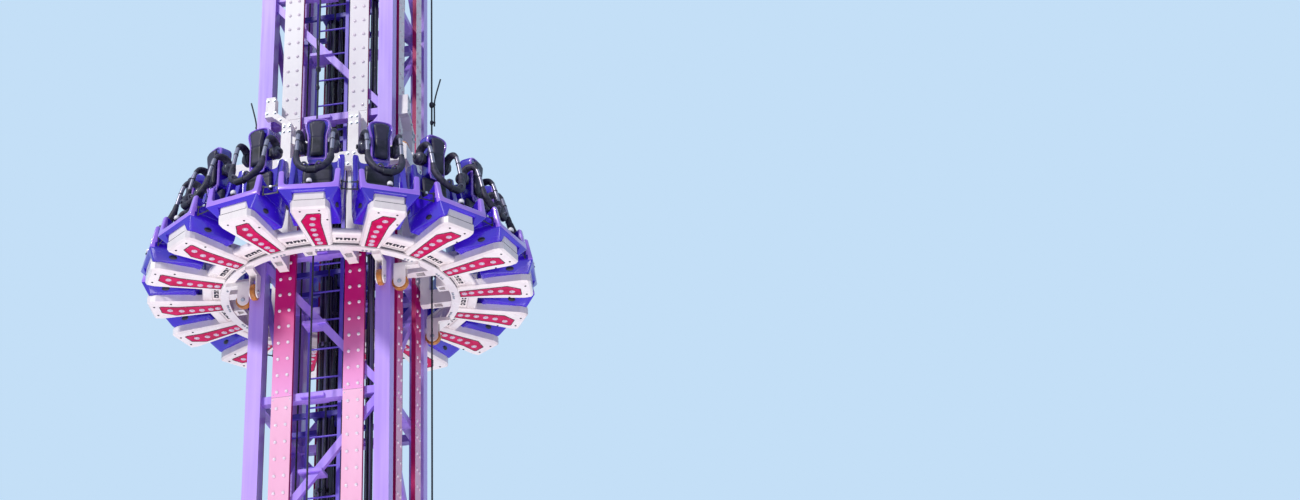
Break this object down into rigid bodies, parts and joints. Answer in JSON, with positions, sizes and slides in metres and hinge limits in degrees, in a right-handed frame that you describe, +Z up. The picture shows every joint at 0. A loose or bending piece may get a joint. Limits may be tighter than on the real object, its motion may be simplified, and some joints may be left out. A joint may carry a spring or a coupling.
{
  "type": "drop tower ride",
  "caption": "Square lattice tower with guide rails and a rope-hoisted ring gondola of outward-facing seats with over-shoulder restraints.",
  "frame": {"origin": "on the tower's axis at ground level, on the underside of the base plates", "axes": "+Z up along the tower, -Y the front face seen in the picture, +X to its right"},
  "size_m": [6.1628, 6.1628, 15.5618],
  "materials": {
    "tower_paint": "semi-gloss violet paint",
    "rail_paint": "semi-gloss paint, white at the top, pink below",
    "dark_paint": "dark satin paint",
    "sheave_steel": "grey paint on cast steel",
    "rope_steel": "greased steel wire rope",
    "white_paint": "gloss white paint",
    "tyre_rubber": "amber polyurethane",
    "panel_red": "crimson gloss plastic",
    "tub_plastic": "gloss violet moulded plastic",
    "pad_vinyl": "black vinyl",
    "black_steel": "black powder coat",
    "restraint_black": "black rubber sleeve on steel tube"
  },
  "bodies": {
    "tower": {"base_frame": "tower_paint", "corner_posts": "tower_paint", "bracing_front": "tower_paint", "bracing_right": "tower_paint", "bracing_back": "tower_paint", "bracing_left": "tower_paint", "guide_rails": "rail_paint", "ladder": "tower_paint", "lift_cylinders": "dark_paint", "cylinder_braces": "tower_paint", "service_pipes": "dark_paint", "head_frame": "tower_paint", "head_sheaves": "sheave_steel", "base_sheaves": "sheave_steel", "hoist_ropes": "rope_steel"},
    "gondola": {"ring_beam": "white_paint", "ring_gussets": "white_paint", "carriage_columns": "white_paint", "square_frame": "white_paint", "corner_plates": "white_paint", "rope_clamps": "sheave_steel", "wheel_brackets": "white_paint", "wheel_hubs": "white_paint", "wheel_tyres": "tyre_rubber", "seat_trays": "white_paint", "tray_panels": "panel_red", "tray_boxes": "white_paint", "seat_tubs": "tub_plastic", "seat_cushions": "pad_vinyl", "back_pads": "pad_vinyl", "headrest_shells": "tub_plastic", "headrest_pads": "pad_vinyl", "pivot_brackets": "black_steel"},
    "restraint_01": {"restraint_01": "restraint_black"},
    "restraint_02": {"restraint_02": "restraint_black"},
    "restraint_03": {"restraint_03": "restraint_black"},
    "restraint_04": {"restraint_04": "restraint_black"},
    "restraint_05": {"restraint_05": "restraint_black"},
    "restraint_06": {"restraint_06": "restraint_black"},
    "restraint_07": {"restraint_07": "restraint_black"},
    "restraint_08": {"restraint_08": "restraint_black"},
    "restraint_09": {"restraint_09": "restraint_black"},
    "restraint_10": {"restraint_10": "restraint_black"},
    "restraint_11": {"restraint_11": "restraint_black"},
    "restraint_12": {"restraint_12": "restraint_black"},
    "restraint_13": {"restraint_13": "restraint_black"},
    "restraint_14": {"restraint_14": "restraint_black"},
    "restraint_15": {"restraint_15": "restraint_black"},
    "restraint_16": {"restraint_16": "restraint_black"}
  },
  "joints": [
    {"name": "gondola_lift", "type": "slide", "parent": "tower", "child": "gondola", "axis": [0, 0, 1], "range_m": [-5.7, 4.5]},
    {"name": "restraint_01_swing", "type": "hinge", "parent": "gondola", "child": "restraint_01", "pos_m": [2.28006, 0.3022, 8.29], "axis": [0.1314, -0.9913, 0], "range_deg": [0, 75]},
    {"name": "restraint_02_swing", "type": "hinge", "parent": "gondola", "child": "restraint_02", "pos_m": [1.99085, 1.15174, 8.29], "axis": [0.5008, -0.8656, 0], "range_deg": [0, 75]},
    {"name": "restraint_03_swing", "type": "hinge", "parent": "gondola", "child": "restraint_03", "pos_m": [1.39856, 1.82593, 8.29], "axis": [0.7939, -0.6081, 0], "range_deg": [0, 75]},
    {"name": "restraint_04_swing", "type": "hinge", "parent": "gondola", "child": "restraint_04", "pos_m": [0.59334, 2.22215, 8.29], "axis": [0.9662, -0.258, 0], "range_deg": [0, 75]},
    {"name": "restraint_05_swing", "type": "hinge", "parent": "gondola", "child": "restraint_05", "pos_m": [-0.3022, 2.28006, 8.29], "axis": [0.9913, 0.1314, 0], "range_deg": [0, 75]},
    {"name": "restraint_06_swing", "type": "hinge", "parent": "gondola", "child": "restraint_06", "pos_m": [-1.15174, 1.99085, 8.29], "axis": [0.8656, 0.5008, 0], "range_deg": [0, 75]},
    {"name": "restraint_07_swing", "type": "hinge", "parent": "gondola", "child": "restraint_07", "pos_m": [-1.82593, 1.39856, 8.29], "axis": [0.6081, 0.7939, 0], "range_deg": [0, 75]},
    {"name": "restraint_08_swing", "type": "hinge", "parent": "gondola", "child": "restraint_08", "pos_m": [-2.22215, 0.59334, 8.29], "axis": [0.258, 0.9662, 0], "range_deg": [0, 75]},
    {"name": "restraint_09_swing", "type": "hinge", "parent": "gondola", "child": "restraint_09", "pos_m": [-2.28006, -0.3022, 8.29], "axis": [-0.1314, 0.9913, 0], "range_deg": [0, 75]},
    {"name": "restraint_10_swing", "type": "hinge", "parent": "gondola", "child": "restraint_10", "pos_m": [-1.99085, -1.15174, 8.29], "axis": [-0.5008, 0.8656, 0], "range_deg": [0, 75]},
    {"name": "restraint_11_swing", "type": "hinge", "parent": "gondola", "child": "restraint_11", "pos_m": [-1.39856, -1.82593, 8.29], "axis": [-0.7939, 0.6081, 0], "range_deg": [0, 75]},
    {"name": "restraint_12_swing", "type": "hinge", "parent": "gondola", "child": "restraint_12", "pos_m": [-0.59334, -2.22215, 8.29], "axis": [-0.9662, 0.258, 0], "range_deg": [0, 75]},
    {"name": "restraint_13_swing", "type": "hinge", "parent": "gondola", "child": "restraint_13", "pos_m": [0.3022, -2.28006, 8.29], "axis": [-0.9913, -0.1314, 0], "range_deg": [0, 75]},
    {"name": "restraint_14_swing", "type": "hinge", "parent": "gondola", "child": "restraint_14", "pos_m": [1.15174, -1.99085, 8.29], "axis": [-0.8656, -0.5008, 0], "range_deg": [0, 75]},
    {"name": "restraint_15_swing", "type": "hinge", "parent": "gondola", "child": "restraint_15", "pos_m": [1.82593, -1.39856, 8.29], "axis": [-0.6081, -0.7939, 0], "range_deg": [0, 75]},
    {"name": "restraint_16_swing", "type": "hinge", "parent": "gondola", "child": "restraint_16", "pos_m": [2.22215, -0.59334, 8.29], "axis": [-0.258, -0.9662, 0], "range_deg": [0, 75]}
  ]
}
